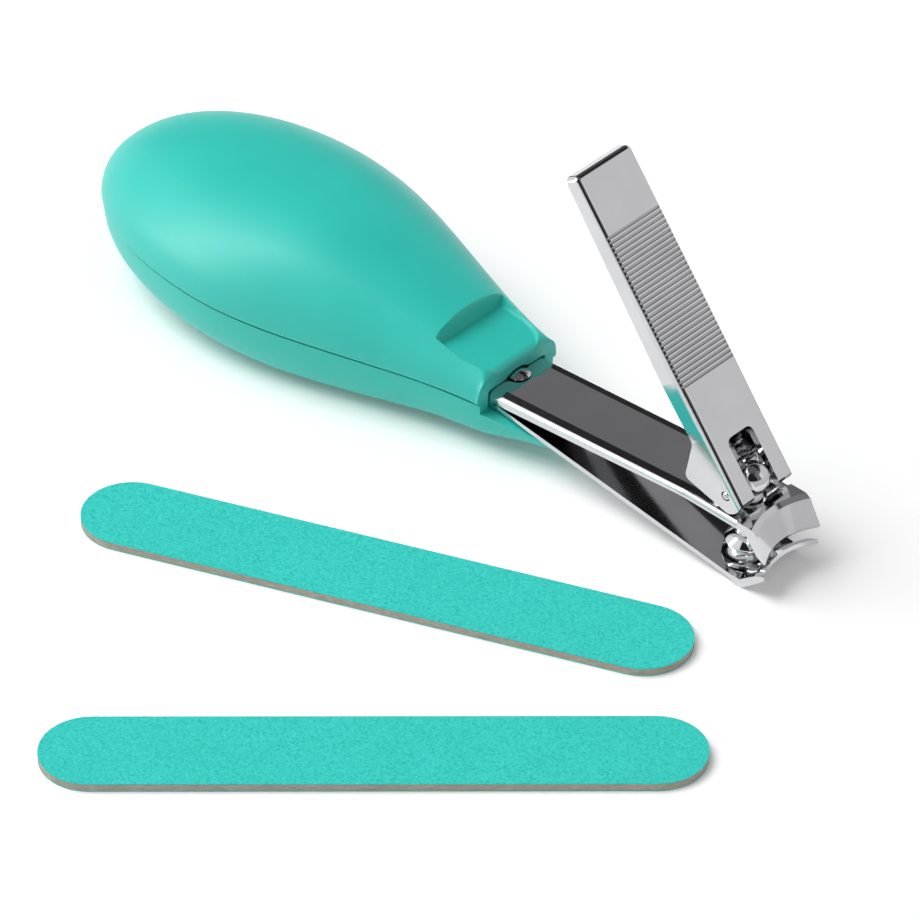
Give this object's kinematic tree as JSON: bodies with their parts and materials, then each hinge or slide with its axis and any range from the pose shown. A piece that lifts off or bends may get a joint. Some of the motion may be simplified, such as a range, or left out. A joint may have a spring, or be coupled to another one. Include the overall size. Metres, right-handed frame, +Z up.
{
  "type": "baby nail care set",
  "caption": "Nail clipper with an egg-shaped plastic handle, sprung steel jaws and a folding press lever, laid out with flat round-ended emery boards.",
  "frame": {"origin": "bottom centre of the set's bounding box, on the table", "axes": "+X along the clipper from the handle to the jaws, +Z up from the table, +Y to the clipper's left"},
  "size_m": [0.1446, 0.1166, 0.0533],
  "materials": {
    "handle_plastic": "smooth moulded turquoise plastic with a soft satin sheen",
    "bright_steel": "polished bright-plated steel",
    "board_core": "plain grey-beige card edge",
    "abrasive_sheet": "fine turquoise grit"
  },
  "bodies": {
    "clipper_base": {"handle_upper_shell": "handle_plastic", "handle_lower_shell": "handle_plastic", "lower_arm": "bright_steel", "tail_rivet": "bright_steel"},
    "upper_jaw": {"upper_arm": "bright_steel"},
    "post": {"lever_post": "bright_steel"},
    "cross_pin": {"lever_pin": "bright_steel"},
    "press_lever": {"lever": "bright_steel"},
    "file_1": {"file_1_core": "board_core", "file_1_top_sheet": "abrasive_sheet", "file_1_bottom_sheet": "abrasive_sheet"},
    "file_2": {"file_2_core": "board_core", "file_2_top_sheet": "abrasive_sheet", "file_2_bottom_sheet": "abrasive_sheet"}
  },
  "joints": [
    {"name": "jaw_close", "type": "hinge", "parent": "clipper_base", "child": "upper_jaw", "pos_m": [0.00484, 0.03994, 0.00817], "axis": [0, 1, 0], "range_deg": [0, 2.25], "stiffness_Nm_per_rad": 18},
    {"name": "lever_swivel", "type": "hinge", "parent": "clipper_base", "child": "post", "pos_m": [0.04664, 0.03994, 0.01392], "axis": [0.0454, 0, 0.999], "continuous": true},
    {"name": "lever_fold", "type": "hinge", "parent": "post", "child": "cross_pin", "pos_m": [0.04664, 0.03994, 0.01392], "axis": [0, 1, 0], "range_deg": [0, 126]},
    {"name": "lever_press", "type": "hinge", "parent": "cross_pin", "child": "press_lever", "pos_m": [0.04664, 0.03994, 0.01392], "axis": [0, -1, 0], "range_deg": [0, 30]},
    {"name": "file_1_lift", "type": "slide", "parent": "clipper_base", "child": "file_1", "axis": [0, 0, 1], "range_m": [0, 0.008]},
    {"name": "file_2_lift", "type": "slide", "parent": "clipper_base", "child": "file_2", "axis": [0, 0, 1], "range_m": [0, 0.008]}
  ],
  "couplings": [
    {"joint": "jaw_close", "follows": "lever_press", "ratio": 0.075}
  ]
}
